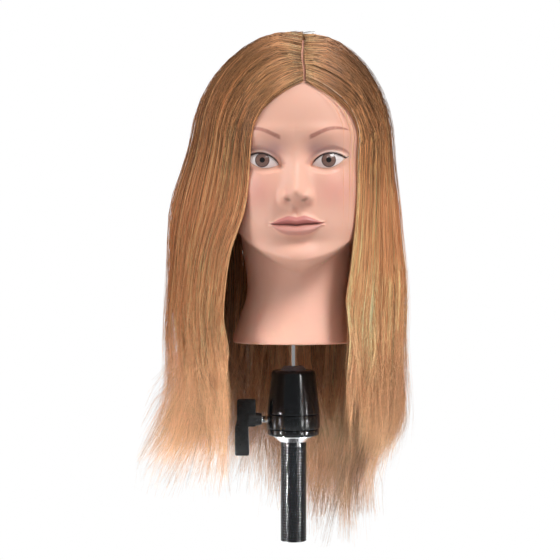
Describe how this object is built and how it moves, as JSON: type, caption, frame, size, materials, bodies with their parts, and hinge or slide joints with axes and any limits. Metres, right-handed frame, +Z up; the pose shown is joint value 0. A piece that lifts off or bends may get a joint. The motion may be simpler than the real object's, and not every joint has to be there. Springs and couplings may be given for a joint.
{
  "type": "mannequin training head",
  "caption": "Mannequin training head with long straight hair parted in the middle, on a lockable tilting ball joint with a clamp lever and the ribbed top of its stand post.",
  "frame": {"origin": "centre of the post's lower end", "axes": "+Z up along the post, the face looks along -Y, +X at the right of someone who looks at the face"},
  "size_m": [0.2445, 0.2105, 0.489],
  "materials": {
    "skin": "soft satin vinyl with painted features",
    "scalp": "soft satin vinyl, hair rooted in it",
    "eye": "glossy, brown iris",
    "hair": "golden brown hair with a soft sheen",
    "foam": "rigid foam",
    "black_plastic": "glossy moulded",
    "lever_black": "satin moulded",
    "post_black": "satin black, finely ribbed",
    "grey_plastic": "smooth",
    "white_plastic": "smooth",
    "chrome": "polished",
    "steel": "plain",
    "brass": "plain"
  },
  "bodies": {
    "stand": {"post_tube": "post_black", "post_end_plug": "black_plastic", "post_top_plug": "steel", "post_bolt": "steel", "lock_collar": "chrome", "base_cup": "black_plastic", "clamp_ring": "black_plastic", "housing_cone": "black_plastic", "thread_insert": "brass"},
    "plunger": {"wedge_plunger": "white_plastic"},
    "tip": {"screw_tip": "brass"},
    "lever": {"clamp_screw": "chrome", "clamp_lever": "lever_black", "lever_pin": "steel"},
    "bush": {"ball_bush": "grey_plastic"},
    "ball": {"swivel_ball": "grey_plastic", "ball_pin": "steel", "spigot_rod": "chrome"},
    "head": {"neck_socket": "white_plastic", "neck_plate": "skin", "plate_screws": "steel", "foam_core": "foam", "face_shell": "skin", "scalp_cap": "scalp", "eye_left": "eye", "eye_right": "eye", "hair_left": "hair", "hair_right": "hair", "hair_back": "hair"}
  },
  "joints": [
    {"name": "tip_slide", "type": "slide", "parent": "stand", "child": "tip", "axis": [-1, 0, 0], "range_m": [0, 0.0012]},
    {"name": "lever_turn", "type": "hinge", "parent": "tip", "child": "lever", "pos_m": [-0.04, 0, 0.1169], "axis": [-1, 0, 0], "range_deg": [0, 270]},
    {"name": "plunger_drop", "type": "slide", "parent": "stand", "child": "plunger", "axis": [0, 0, -1], "range_m": [0, 0.0012]},
    {"name": "ball_lean", "type": "hinge", "parent": "stand", "child": "bush", "pos_m": [0, 0, 0.1559], "axis": [0, 1, 0], "range_deg": [-15, 15]},
    {"name": "ball_nod", "type": "hinge", "parent": "bush", "child": "ball", "pos_m": [0, 0, 0.1559], "axis": [1, 0, 0], "range_deg": [-15, 15]},
    {"name": "head_turn", "type": "hinge", "parent": "ball", "child": "head", "pos_m": [0, 0, 0.2], "axis": [0, 0, 1], "continuous": true}
  ],
  "couplings": [
    {"joint": "tip_slide", "follows": "lever_turn", "m_per_rad": 0.00023873},
    {"joint": "plunger_drop", "follows": "lever_turn", "m_per_rad": 0.00023873}
  ]
}
